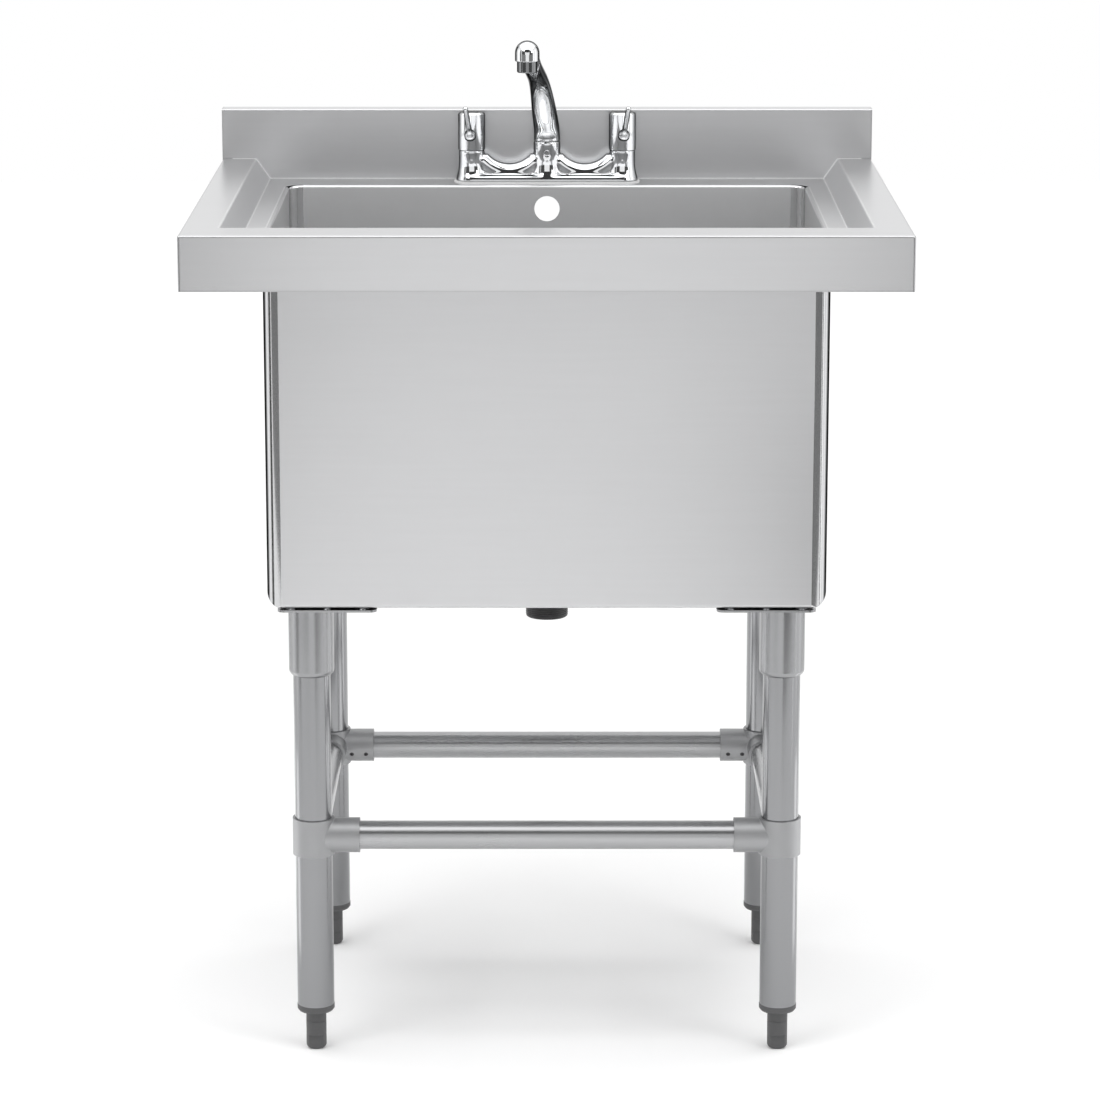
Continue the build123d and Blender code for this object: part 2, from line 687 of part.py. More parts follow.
pillar_top_z = deck_z + pillar_top
column_top_z = deck_z + column_top
tap_axis = Axis((0, tap_y, 0), (0, 0, 1))
spigot_bottom_z = column_top_z - spigot_length
spout_screw_z = column_top_z - spout_screw_drop
tail_socket_depth = 10.0
with BuildPart() as tap_body:
    # arms: half rings that hang between the column and each pillar
    for side in (-1, 1):
        arm_centre = Plane(
            origin=(side * tap_centres / 4, tap_y, deck_z + arm_centre_height), x_dir=(1, 0, 0), z_dir=(0, -1, 0))
        with BuildLine(arm_centre):
            arm = CenterArc((0, 0), arm_bend, -90 - arm_half_angle, 2 * arm_half_angle)
        with BuildSketch(Plane(origin=arm @ 0, z_dir=arm % 0)):
            Circle(arm_radius)
        sweep(path=arm)
    # pillars and column, flaring into the base
    for x, foot, top_radius, top_z in (
        (-tap_centres / 2, pillar_foot_radius, pillar_top_radius, pillar_top_z),
        (tap_centres / 2, pillar_foot_radius, pillar_top_radius, pillar_top_z),
        (0, column_foot_radius, column_radius, column_top_z),
    ):
        with BuildSketch(upright_plane(x, tap_y)):
            with BuildLine():
                Polyline(
                    (top_radius, top_z), (0, top_z), (0, tap_base_z), (foot, tap_base_z),
                    (foot, tap_base_z + tap_base_height - 2))
                Spline((foot, tap_base_z + tap_base_height - 2), (top_radius, top_z - 8), (top_radius, top_z),
                       tangents=((-0.35, 1), (0, 1)))
            make_face()
        revolve(axis=Axis((x, tap_y, 0), (0, 0, 1)))
    with BuildSketch(Plane.XY.offset(tap_base_z)):
        with Locations((0, tap_y)):
            SlotOverall(tap_base_width, tap_base_depth)
    extrude(amount=tap_base_height, taper=12)
    with BuildSketch(Plane.XY.offset(tap_base_z)):
        with Locations((0, tap_y)):
            Rectangle(tap_centres, 2 * arm_radius - 4)
    extrude(amount=arm_radius)
    split(bisect_by=Plane.XY.offset(tap_base_z), keep=Keep.TOP)
    # seats for the cartridges, the tails, the spout's spigot and its screw
    for x in pillar_places.values():
        with BuildSketch(Plane.XY.offset(pillar_top_z)):
            with Locations((x, tap_y)):
                Circle(cartridge_radius + running_fit)
        extrude(amount=-cartridge_depth, mode=Mode.SUBTRACT)
        with BuildSketch(Plane.XY.offset(tap_base_z)):
            with Locations((x, tap_y)):
                Circle(tail_diameter / 2 - tail_relief + running_fit)
        extrude(amount=tail_socket_depth, mode=Mode.SUBTRACT)
    with BuildSketch(Plane.XY.offset(column_top_z)):
        with Locations((0, tap_y)):
            Circle(spigot_radius + running_fit)
    extrude(amount=-spigot_length - joint_gap, mode=Mode.SUBTRACT)
    with BuildSketch(Plane(origin=(0, tap_y, spout_screw_z), z_dir=(0, -1, 0))):
        Circle(spout_screw_radius)
    extrude(amount=2 * column_radius, mode=Mode.SUBTRACT)
finish("tap_body", tap_body)

screw_length = column_radius - spigot_radius + 0.6
with BuildPart() as spout_screw:
    screw_plane = Plane(origin=(0, tap_y - spigot_radius + 1, spout_screw_z), z_dir=(0, -1, 0))
    with BuildSketch(screw_plane):
        Circle(spout_screw_radius - slip_fit)
    extrude(amount=screw_length)
    with BuildSketch(screw_plane.offset(screw_length)):
        RegularPolygon(spout_screw_radius / 2, 6)
    extrude(amount=-2, mode=Mode.SUBTRACT)
finish("spout_screw", spout_screw)

tail_top = tap_base_z + tail_socket_depth - joint_gap
tail_bottom_z = deck_z - tail_length
tail_shank_radius = tail_diameter / 2 - tail_relief
tails = turned([(x, tap_y) for x in pillar_places.values()], [
    (tail_bore / 2, tail_bottom_z), (tail_diameter / 2 - 1, tail_bottom_z), (tail_diameter / 2, tail_bottom_z + 1),
    (tail_diameter / 2, tail_bottom_z + tail_free_length), (tail_shank_radius, tail_bottom_z + tail_free_length),
    (tail_shank_radius, tail_top), (tail_bore / 2, tail_top)])
finish("tap_tails", tails)

washer_thickness = 2.0
washers = turned([(x, tap_y) for x in pillar_places.values()], [
    (tail_diameter / 2 + slip_fit, deck_underside - washer_thickness),
    (backnut_across_flats / 2 + 2, deck_underside - washer_thickness),
    (backnut_across_flats / 2 + 2, deck_underside), (tail_diameter / 2 + slip_fit, deck_underside)])
finish("tap_washers", washers)

with BuildPart() as backnuts:
    with BuildSketch(Plane.XY.offset(deck_underside - washer_thickness)):
        with Locations(*[(x, tap_y) for x in pillar_places.values()]):
            RegularPolygon(backnut_across_flats / 2, 6, major_radius=False)
            Circle(tail_diameter / 2 + slip_fit, mode=Mode.SUBTRACT)
    extrude(amount=-backnut_height)
finish("tap_backnuts", backnuts)

# valves and lever handles
hub_bottom = pillar_top_z + joint_gap
hub_top = hub_bottom + hub_height
cartridge_flange_radius = 12.0
cartridge_top = pillar_top_z + 12.0
spindle_top = hub_top - 8.0
hub_floor = cartridge_top + joint_gap
cap_recess = 3.0
cap_radius = 9.0
spindle_bottom = pillar_top_z - 10.0
for side, x in pillar_places.items():
    outward = -1 if x < 0 else 1
    lever_plane = upright_plane(x, tap_y, yaw=-90 + outward * lever_yaw)
    cartridge = turned([(x, tap_y)], [
        (0, pillar_top_z - cartridge_depth + joint_gap), (cartridge_radius, pillar_top_z - cartridge_depth + joint_gap),
        (cartridge_radius, pillar_top_z), (cartridge_flange_radius, pillar_top_z),
        (cartridge_flange_radius, cartridge_top - 6), (cartridge_radius - 2, cartridge_top),
        (spindle_radius + running_fit, cartridge_top), (spindle_radius + running_fit, spindle_bottom - joint_gap),
        (0, spindle_bottom - joint_gap)])
    finish(f"valve_cartridge_{side}", cartridge)

    spindle = turned([(x, tap_y)], [
        (0, spindle_bottom), (spindle_radius, spindle_bottom), (spindle_radius, spindle_top),
        (handle_screw_radius, spindle_top), (handle_screw_radius, spindle_top - 9), (0, spindle_top - 9)])
    finish(f"valve_spindle_{side}", spindle)

    with BuildPart() as handle:
        with BuildSketch(upright_plane(x, tap_y)):
            with BuildLine():
                Polyline(
                    (hub_radius, hub_bottom), (hub_radius, hub_top - 2), (hub_radius - 2, hub_top),
                    (cap_radius + slip_fit, hub_top), (cap_radius + slip_fit, hub_top - cap_recess),
                    (handle_screw_radius + slip_fit, hub_top - cap_recess),
                    (handle_screw_radius + slip_fit, spindle_top + 0.1),
                    (spindle_radius + running_fit, spindle_top + 0.1),
                    (spindle_radius + running_fit, hub_floor), (cartridge_radius, hub_floor),
                    (hub_radius - hub_wall, cartridge_top - 6), (hub_radius - hub_wall, hub_bottom), close=True)
            make_face()
        revolve(axis=Axis((x, tap_y, 0), (0, 0, 1)))
        # lever: a cone that leaves the hub's front, a narrow neck and a rounded rod
        reach = hypot(lever_tip[0] - lever_root[0], lever_tip[1] - lever_root[1])
        root = lever_plane.from_local_coords(Vector(lever_root[0], pillar_top_z + lever_root[1], 0))
        along = lever_plane.from_local_coords(Vector(lever_tip[0], pillar_top_z + lever_tip[1], 0)) - root
        lever_axis_plane = Plane(origin=root, x_dir=along, z_dir=lever_plane.z_dir)
        with BuildSketch(lever_axis_plane):
            with BuildLine():
                Line((0, 0), (0, lever_root_radius))
                Line((0, lever_root_radius), (4, lever_root_radius))
                Spline((4, lever_root_radius), (11, lever_neck_radius + 0.8), (17, lever_neck_radius),
                       tangents=((1, -0.2), (1, 0)))
                Line((17, lever_neck_radius), (21, lever_blade_radius))
                Line((21, lever_blade_radius), (reach - lever_blade_radius, lever_blade_radius))
                ThreePointArc(
                    (reach - lever_blade_radius, lever_blade_radius),
                    (reach - lever_blade_radius * (1 - sqrt(0.5)), lever_blade_radius * sqrt(0.5)), (reach, 0))
                Line((reach, 0), (0, 0))
            make_face()
        revolve(axis=Axis(tuple(root), tuple(along)))
        # the cone starts inside the hub's wall, so what reaches the hollow is cut back
        with BuildSketch(upright_plane(x, tap_y)):
            with BuildLine():
                Polyline(
                    (0, hub_bottom - 1), (hub_radius - hub_wall, hub_bottom - 1),
                    (hub_radius - hub_wall, cartridge_top - 6), (cartridge_radius, hub_floor),
                    (0, hub_floor), close=True)
            make_face()
        revolve(axis=Axis((x, tap_y, 0), (0, 0, 1)), mode=Mode.SUBTRACT)
    finish(f"lever_handle_{side}", handle)

    handle_screw = turned([(x, tap_y)], [
        (0, spindle_top - 8.5), (handle_screw_radius - 0.05, spindle_top - 8.5),
        (handle_screw_radius - 0.05, hub_top - cap_recess), (4, hub_top - cap_recess),
        (4, hub_top - cap_recess + 1.0), (0, hub_top - cap_recess + 1.0)])
    finish(f"handle_screw_{side}", handle_screw)

    handle_cap = turned([(x, tap_y)], [
        (0, hub_top - cap_recess + 1.2), (cap_radius - 1.5, hub_top - cap_recess + 1.2),
        (cap_radius - 1.5, hub_top - cap_recess), (cap_radius, hub_top - cap_recess), (cap_radius, hub_top),
        (cap_radius - 1.5, hub_top + 0.6), (0, hub_top + 0.9)])
    finish(f"handle_cap_{side}", handle_cap)

# spout: rises from the column, leans forward and ends in a domed head over the bowl
spout_plane = upright_plane(0, tap_y, yaw=-90 - spout_yaw)
head_place = spout_plane.from_local_coords(Vector(head_reach, 0, 0))
head_axis = Axis(tuple(head_place), (0, 0, 1))
head_plane = upright_plane(head_place.X, head_place.Y)
head_bottom_z = deck_z + head_bottom
head_top_z = deck_z + head_top
aerator_bottom = head_bottom_z - aerator_length
groove_depth = 2.0
spigot_bore = 6.0
seal_places = (spigot_bottom_z + 1.8, spigot_bottom_z + 5.6)
def spout_tube(inset):
    """The spout's curved tube as one loft, its surface moved inwards by the inset."""
    with BuildPart() as tube:
        for (reach, height), lean, radius in zip(spout_path, spout_slopes, spout_radii):
            centre = spout_plane.from_local_coords(Vector(reach, deck_z + height, 0))
            forward = spout_plane.x_dir * cos(radians(lean)) + Vector(0, 0, sin(radians(lean)))
            with BuildSketch(Plane(origin=centre, x_dir=spout_plane.z_dir, z_dir=forward)):
                Circle(radius - inset)
        loft()
    return tube


with BuildPart() as spout:
    add(spout_tube(0).part)
    with BuildSketch(Plane.XY.offset(head_bottom_z)):
        with Locations((head_place.X, head_place.Y)):
            Circle(2 * head_radius)
    extrude(amount=-head_radius, mode=Mode.SUBTRACT)
    with BuildSketch(head_plane):
        with BuildLine():
            Line((0, head_top_z), (0, head_bottom_z))
            Line((0, head_bottom_z), (head_radius, head_bottom_z))
            Line((head_radius, head_bottom_z), (head_radius, head_top_z - head_radius))
            ThreePointArc(
                (head_radius, head_top_z - head_radius),
                (head_radius * sqrt(0.5), head_top_z - head_radius * (1 - sqrt(0.5))), (0, head_top_z))
        make_face()
    revolve(axis=head_axis)
    with BuildSketch(Plane.XY.offset(head_bottom_z)):
        with Locations((head_place.X, head_place.Y)):
            Circle(aerator_radius - 1 + running_fit)
    extrude(amount=8, mode=Mode.SUBTRACT)
    with BuildSketch(Plane.XY.offset(head_bottom_z + 8)):
        with Locations((head_place.X, head_place.Y)):
            Circle(aerator_radius - 4)
    extrude(amount=6, mode=Mode.SUBTRACT)
    add(spout_tube(spout_wall).part, mode=Mode.SUBTRACT)
    # floor of the tube, with the bored spigot below it
    with BuildSketch(Plane.XY.offset(column_top_z + joint_gap)):
        with Locations((0, tap_y)):
            Circle(spout_radii[0] - spout_wall / 2)
    extrude(amount=spout_wall)
    with BuildSketch(Plane.XY.offset(column_top_z + joint_gap)):
        with Locations((0, tap_y)):
            Circle(spigot_radius)
    extrude(amount=-spigot_length)
    with BuildSketch(Plane.XY.offset(spout_screw_z - 3)):
        with Locations((0, tap_y)):
            Circle(spigot_radius + 1)
            Circle(spigot_radius - groove_depth, mode=Mode.SUBTRACT)
    extrude(amount=6, mode=Mode.SUBTRACT)
    with BuildSketch(Plane.XY.offset(spigot_bottom_z)):
        with Locations((0, tap_y)):
            Circle(spigot_bore)
    extrude(amount=spigot_length + 2, mode=Mode.SUBTRACT)
    for seal_z in seal_places:
        with BuildSketch(Plane.XY.offset(seal_z)):
            with Locations((0, tap_y)):
                Circle(spigot_radius + 1)
                Circle(spigot_radius - groove_depth, mode=Mode.SUBTRACT)
        extrude(amount=2.4, mode=Mode.SUBTRACT)
finish("spout", spout)

with BuildPart() as spout_seals:
    for seal_z in seal_places:
        with BuildSketch(Plane.XY.offset(seal_z + 0.1)):
            with Locations((0, tap_y)):
                Circle(spigot_radius)
                Circle(spigot_radius - groove_depth + 0.05, mode=Mode.SUBTRACT)
        extrude(amount=2.2)
finish("spout_seals", spout_seals)

aerator_shell = turned([(head_place.X, head_place.Y)], [
    (aerator_radius - 2.4, aerator_bottom), (aerator_radius - 0.6, aerator_bottom),
    (aerator_radius, aerator_bottom + 1), (aerator_radius, head_bottom_z - joint_gap),
    (aerator_radius - 1, head_bottom_z - joint_gap), (aerator_radius - 1, head_bottom_z + 7),
    (aerator_radius - 2.4, head_bottom_z + 7)])
finish("aerator_shell", aerator_shell)

with BuildPart() as aerator_insert:
    insert_radius = aerator_radius - 2.4 - running_fit
    with BuildSketch(Plane.XY.offset(aerator_bottom + 1)):
        with Locations((head_place.X, head_place.Y)):
            Circle(insert_radius)
    extrude(amount=10)
    with BuildSketch(Plane.XY.offset(aerator_bottom + 1)):
        with Locations((head_place.X, head_place.Y)):
            with PolarLocations(insert_radius * 0.62, 10):
                Circle(1.1)
            with PolarLocations(insert_radius * 0.28, 5):
                Circle(0.9)
    extrude(amount=3, mode=Mode.SUBTRACT)
finish("aerator_insert", aerator_insert)
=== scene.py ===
# %% [markdown]
# # A deep utility sink, told in steps
# A folded steel sink on a tube stand, with a two-lever deck mixer. The shapes with real sizes come from the
# CAD frame. This lesson gives them light, metal, plastic and rubber, and adds what a CAD model leaves plain:
# the flowing corners of castings and the screw threads. Everything is in metres, +Z up, front towards -Y.

import json
from math import cos, pi, radians, sin

import bmesh
import bpy
from mathutils import Matrix, Vector


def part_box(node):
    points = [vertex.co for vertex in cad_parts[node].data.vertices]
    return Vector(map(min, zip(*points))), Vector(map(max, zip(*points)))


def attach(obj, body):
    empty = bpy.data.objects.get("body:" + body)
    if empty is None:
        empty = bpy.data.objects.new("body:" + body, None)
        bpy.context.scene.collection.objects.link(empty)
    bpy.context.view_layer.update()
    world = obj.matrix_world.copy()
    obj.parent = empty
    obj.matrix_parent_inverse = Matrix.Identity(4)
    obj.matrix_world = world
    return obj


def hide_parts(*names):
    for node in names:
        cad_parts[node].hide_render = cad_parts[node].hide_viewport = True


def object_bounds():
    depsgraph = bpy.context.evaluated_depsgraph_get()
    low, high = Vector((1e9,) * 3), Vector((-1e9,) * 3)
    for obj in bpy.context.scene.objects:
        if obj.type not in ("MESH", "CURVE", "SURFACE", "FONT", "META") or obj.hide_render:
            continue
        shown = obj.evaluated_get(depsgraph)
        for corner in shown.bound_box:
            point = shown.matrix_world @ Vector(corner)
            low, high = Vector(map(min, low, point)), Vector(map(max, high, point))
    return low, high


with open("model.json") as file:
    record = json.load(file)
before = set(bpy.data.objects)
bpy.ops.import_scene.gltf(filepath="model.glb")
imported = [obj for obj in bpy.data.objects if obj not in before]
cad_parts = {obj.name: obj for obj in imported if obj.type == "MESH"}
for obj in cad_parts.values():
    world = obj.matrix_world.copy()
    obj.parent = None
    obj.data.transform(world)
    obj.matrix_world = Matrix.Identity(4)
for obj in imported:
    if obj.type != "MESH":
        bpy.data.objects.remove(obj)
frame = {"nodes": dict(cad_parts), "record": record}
cad_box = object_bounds()
nodes = frame["nodes"]
print("CAD box:", [[round(v, 4) for v in corner] for corner in cad_box])

# %% [markdown]
# ## The camera
# The sink is seen from the front and a little above, through a long lens, so its uprights stay nearly
# upright. The height, distance and tilt were found by matching corners of the rim, the bowl and the feet.
# A long lens with a small tilt does this without shift, so every other view keeps its framing too.

# %% Camera
FRAME_PIXELS = 1100
focal_pixels = 4109.0
camera_distance = 4.296
camera_height = 1.581
camera_tilt = radians(12.86)
camera_x = 0.0036
sink_front = cad_box[0][1]

lens = bpy.data.cameras.new("front view")
lens.sensor_width = 36.0
lens.lens = focal_pixels * lens.sensor_width / FRAME_PIXELS
lens.clip_end = 50.0
camera = bpy.data.objects.new("front view", lens)
camera.location = (camera_x, sink_front - camera_distance, camera_height)
camera.rotation_euler = (pi / 2 - camera_tilt, 0, 0)
bpy.context.scene.collection.objects.link(camera)
bpy.context.scene.camera = camera
bpy.context.scene.view_settings.view_transform = "Standard"
print("lens mm:", round(lens.lens, 1))

# %% [markdown]
# ## Sky
# Metal shows its surroundings, so the room matters more than the lamps. The sky is plain white where the
# camera, a mirror or a glass looks at it, and softer for the light it sheds. An image of a real studio could
# do this too, but a plain colour stays even in every view. Three small helpers keep node trees readable.

# %% Node helpers
def link(tree, source, target):
    """Joins one socket to another."""
    tree.links.new(source, target)


def add(tree, kind, **values):
    """Puts a shader node in a tree and sets its unlinked inputs by name."""
    made = tree.nodes.new(kind)
    for name, value in values.items():
        made.inputs[name.replace("_", " ")].default_value = value
    return made


def maths(tree, operation, first, second=0.0):
    """One arithmetic step between two sockets or numbers."""
    step = tree.nodes.new("ShaderNodeMath")
    step.operation = operation
    for slot, value in ((0, first), (1, second)):
        if isinstance(value, (int, float)):
            step.inputs[slot].default_value = value
        else:
            link(tree, value, step.inputs[slot])
    return step.outputs[0]


print("node helpers: link, add, maths")

# %% Sky
SKY_LIGHT = 0.62
WHITE = (1, 1, 1, 1)


def seen_directly(tree):
    """A value that is 1 for rays that show the background: from the camera, off gloss and through glass."""
    path = tree.nodes.new("ShaderNodeLightPath").outputs
    seen = maths(tree, "MAXIMUM", path["Is Camera Ray"], path["Is Glossy Ray"])
    return maths(tree, "MAXIMUM", seen, path["Is Transmission Ray"])


world = bpy.data.worlds.new("studio")
bpy.context.scene.world = world
world.use_nodes = True
sky = world.node_tree
sky.nodes.clear()
shed = add(sky, "ShaderNodeBackground", Color=WHITE, Strength=SKY_LIGHT)
shown = add(sky, "ShaderNodeBackground", Color=WHITE, Strength=1.0)
sky_mix = sky.nodes.new("ShaderNodeMixShader")
sky_out = sky.nodes.new("ShaderNodeOutputWorld")
link(sky, seen_directly(sky), sky_mix.inputs[0])
link(sky, shed.outputs[0], sky_mix.inputs[1])
link(sky, shown.outputs[0], sky_mix.inputs[2])
link(sky, sky_mix.outputs[0], sky_out.inputs["Surface"])
print("sky light:", SKY_LIGHT)

# %% [markdown]
# ## Floor
# A studio floor is a wide sheet of pale paper. Here it is one large square with a matte paint. A glow that
# grows with the distance from the sink lifts the far floor to the white of the sky, so no horizon shows, while
# the floor near the feet keeps its shadow. A curved backdrop would do the same for one view only.

# %% Floor
FLOOR_SIZE = 14.0


def object_from(name, shape):
    """Turns a bmesh into an object in the scene and frees the bmesh."""
    data = bpy.data.meshes.new(name)
    shape.to_mesh(data)
    shape.free()
    thing = bpy.data.objects.new(name, data)
    bpy.context.scene.collection.objects.link(thing)
    return thing


floor_mesh = bmesh.new()
bmesh.ops.create_grid(floor_mesh, x_segments=1, y_segments=1, size=FLOOR_SIZE / 2)
floor = object_from("floor", floor_mesh)
print("floor side:", FLOOR_SIZE)

# %% Floor paint
GLOW_NEAR, GLOW_FAR = 1.8, 3.9
floor_paint = bpy.data.materials.new("pale floor")
floor_paint.use_nodes = True
paper = floor_paint.node_tree
paper.nodes.clear()
matte = add(paper, "ShaderNodeBsdfDiffuse", Color=(0.9, 0.9, 0.9, 1))
glow = add(paper, "ShaderNodeEmission", Color=WHITE)
place = paper.nodes.new("ShaderNodeTexCoord")
distance = paper.nodes.new("ShaderNodeVectorMath")
distance.operation = "LENGTH"
fade = add(paper, "ShaderNodeMapRange", From_Min=GLOW_NEAR, From_Max=GLOW_FAR, To_Min=0.06, To_Max=0.47)
link(paper, place.outputs["Object"], distance.inputs[0])
link(paper, distance.outputs["Value"], fade.inputs["Value"])
link(paper, fade.outputs[0], glow.inputs["Strength"])
both = paper.nodes.new("ShaderNodeAddShader")
paper_out = paper.nodes.new("ShaderNodeOutputMaterial")
link(paper, matte.outputs[0], both.inputs[0])
link(paper, glow.outputs[0], both.inputs[1])
link(paper, both.outputs[0], paper_out.inputs["Surface"])
floor.data.materials.append(floor_paint)
print("glow grows from", GLOW_NEAR, "to", GLOW_FAR, "m")

# %% [markdown]
# ## Lamps
# Large soft lamps give metal broad soft lights, where small ones would show as hard spots. The key and the
# fill stand to the left and right of the camera, and two wide ones hang overhead. One of those two is kept out
# of reflections, so that it lights the sheet without showing in it.

# %% Lamps
def softbox(name, place, target, size, power):
    """A square area lamp at a place, facing a target."""
    data = bpy.data.lights.new(name, "AREA")
    data.shape = "RECTANGLE"
    data.size, data.size_y = size
    data.energy = power
    lamp = bpy.data.objects.new(name, data)
    lamp.location = place
    lamp.rotation_euler = (Vector(target) - Vector(place)).to_track_quat("-Z", "Y").to_euler()
    bpy.context.scene.collection.objects.link(lamp)
    return lamp


softbox("key softbox", (-2.2, -2.6, 3.0), (0, 0, 0.6), (1.6, 1.2), 18)
softbox("fill softbox", (2.6, -2.2, 2.2), (0, 0, 0.5), (1.2, 1.6), 14)
softbox("top softbox", (0, -0.3, 2.9), (0, 0, 0.7), (4.6, 3.4), 56)
wash = softbox("top wash", (0, -0.3, 2.91), (0, 0, 0.7), (4.6, 3.4), 40)
wash.visible_glossy = False
print("lamps:", len(bpy.data.lights))

# %% [markdown]
# ## Flags and panels
# A polished tap in an all-white room looks like paper. Photographers stand dark boards beside the camera, so
# that chrome picks up dark lines, and bright ones beside the object, so that round tubes pick up a light line.
# These boards hide from the camera and only show in reflections.

# %% Board maker
def flag(name, corner, across, up, shade):
    """A flat board from a corner and two edge directions, dark or bright. The camera doesn't see it."""
    board = bmesh.new()
    bmesh.ops.create_grid(board, x_segments=1, y_segments=1, size=0.5)
    across, up = Vector(across), Vector(up)
    middle = Vector(corner) + (across + up) / 2
    turn = Matrix((across, up, across.cross(up).normalized())).transposed().to_4x4()
    bmesh.ops.transform(board, matrix=Matrix.Translation(middle) @ turn, verts=board.verts)
    thing = object_from(name, board)
    thing.visible_camera = False
    thing.visible_shadow = False
    thing.visible_diffuse = False
    paint = bpy.data.materials.new(name)
    paint.use_nodes = True
    paint.node_tree.nodes.clear()
    even = add(paint.node_tree, "ShaderNodeEmission", Color=(shade, shade, shade, 1), Strength=1.0)
    out = paint.node_tree.nodes.new("ShaderNodeOutputMaterial")
    link(paint.node_tree, even.outputs[0], out.inputs["Surface"])
    thing.data.materials.append(paint)


print("board maker: flag")

# %% Dark flags
flag("left flag", (-4.0, -3.0, 0.0), (2.2, -1.6, 0), (0, 0, 3.4), 0.08)
flag("right flag", (1.8, -4.6, 0.0), (2.2, 1.6, 0), (0, 0, 3.4), 0.08)
flag("high flag", (-1.7, -4.4, 2.0), (3.4, 0, 0), (0, 1.2, 1.8), 0.05)
flag("left low flag", (-2.6, -1.9, 0.14), (2.06, 0, 0), (0, 0, 0.76), 0.24)
flag("right low flag", (0.58, -1.8, 0.0), (2.0, 0, 0), (0, 0, 0.9), 0.22)
flag("right floor flag", (0.38, -1.8, 0.0), (0.20, 0, 0), (0, 0, 0.42), 0.08)
flag("left side flag", (-2.1, -1.2, 0.0), (0.3, 0.65, 0), (0, 0, 2.0), 0.04)
flag("right side flag", (2.1, -1.2, 0.0), (-0.3, 0.5, 0), (0, 0, 2.0), 0.04)
flag("left back flag", (-1.5, 0.9, 0.0), (-0.7, 1.6, 0), (0, 0, 2.2), 0.04)
flag("right back flag", (2.2, 2.5, 0.0), (-0.7, -1.6, 0), (0, 0, 2.2), 0.04)

# %% Bright panels
LOW_PANEL_X, LOW_PANEL_DEPTH, LOW_PANEL_HEIGHT = 0.62, 0.16, 0.24
flag("left panel", (-1.7, 0.25, 0.0), (0, -0.45, 0), (0, 0, 1.8), 1.5)
flag("right panel", (1.7, -0.2, 0.0), (0, 0.45, 0), (0, 0, 1.8), 1.5)
flag("right strip", (1.5, -0.75, 0.0), (0.06, 0.16, 0), (0, 0, 1.8), 1.8)
for side, panel_x in (("left", -LOW_PANEL_X), ("right", LOW_PANEL_X)):
    for row, panel_y in (("front", -0.189), ("back", 0.185)):
        flag(f"{row} {side} low panel", (panel_x, panel_y, 0.0),
             (0, LOW_PANEL_DEPTH, 0), (0, 0, LOW_PANEL_HEIGHT), 2.2)

# %% [markdown]
# ## Shared surface effects
# Brushed sheet, drawn tube and cast metal differ in how their surface is scratched. Each effect is a node
# group that gives out only values: a height for a bump and a mask for colour and roughness. The materials
# stay free to choose their own shader and strengths. Noise is used rather than pictures of scratches, because
# it has no seams and no fixed size.

# %% Brushed grain
grain = bpy.data.node_groups.new("brushed grain", "ShaderNodeTree")
grain.interface.new_socket(name="Vector", in_out="INPUT", socket_type="NodeSocketVector")
for name in ("Height", "Streak"):
    grain.interface.new_socket(name=name, in_out="OUTPUT", socket_type="NodeSocketFloat")
grain_in = grain.nodes.new("NodeGroupInput")
grain_out = grain.nodes.new("NodeGroupOutput")
fine = add(grain, "ShaderNodeTexNoise", Scale=1.0, Detail=3.0, Roughness=0.6)
broad = add(grain, "ShaderNodeTexNoise", Scale=0.12, Detail=2.0, Roughness=0.5)
link(grain, grain_in.outputs["Vector"], fine.inputs["Vector"])
link(grain, grain_in.outputs["Vector"], broad.inputs["Vector"])
link(grain, fine.outputs["Fac"], grain_out.inputs["Height"])
link(grain, broad.outputs["Fac"], grain_out.inputs["Streak"])
print("group:", grain.name)

# %% Handling marks
marks = bpy.data.node_groups.new("handling marks", "ShaderNodeTree")
marks.interface.new_socket(name="Vector", in_out="INPUT", socket_type="NodeSocketVector")
marks.interface.new_socket(name="Size", in_out="INPUT", socket_type="NodeSocketFloat")
marks.interface.new_socket(name="Cloud", in_out="OUTPUT", socket_type="NodeSocketFloat")
marks_in = marks.nodes.new("NodeGroupInput")
marks_out = marks.nodes.new("NodeGroupOutput")
cloud = add(marks, "ShaderNodeTexNoise", Detail=4.0, Roughness=0.55)
link(marks, marks_in.outputs["Vector"], cloud.inputs["Vector"])
link(marks, marks_in.outputs["Size"], cloud.inputs["Scale"])
link(marks, cloud.outputs["Fac"], marks_out.inputs["Cloud"])
print("group:", marks.name)

# %% [markdown]
# ## Metals
# Steel is a metallic surface whose colour is its reflection. The grain is stretched noise: long along the
# brushing, very short across it. It bends the normal a little and varies the roughness, so highlights smear
# into the soft bands that brushed sheet shows. An anisotropic shader smears them too, but it needs a direction
# on every face, and stretched noise takes its own from the axes of the piece.

# %% Ranges and shades
def spread(tree, source, low, high):
    """Maps a 0 to 1 value onto a range."""
    ramp = add(tree, "ShaderNodeMapRange", To_Min=low, To_Max=high)
    link(tree, source, ramp.inputs["Value"])
    return ramp.outputs[0]


def blend(tree, factor, first, second):
    """A colour between two, each a socket or a colour, by a factor from 0 to 1."""
    mix = tree.nodes.new("ShaderNodeMix")
    mix.data_type = "RGBA"
    link(tree, factor, mix.inputs["Factor"])
    for slot, value in (("A", first), ("B", second)):
        if isinstance(value, tuple):
            mix.inputs[slot].default_value = (*value, 1)
        else:
            link(tree, value, mix.inputs[slot])
    return mix.outputs["Result"]


def tinted(tree, factor, colour, darker, lighter):
    """A colour that wanders between a darker and a lighter shade of itself."""
    dark = tuple(c * darker for c in colour)
    light = tuple(min(1.0, c * lighter) for c in colour)
    return blend(tree, factor, dark, light)


print("range and shade helpers: spread, blend, tinted")

# %% Skins and effects
BUMP_DEPTH = 0.0002


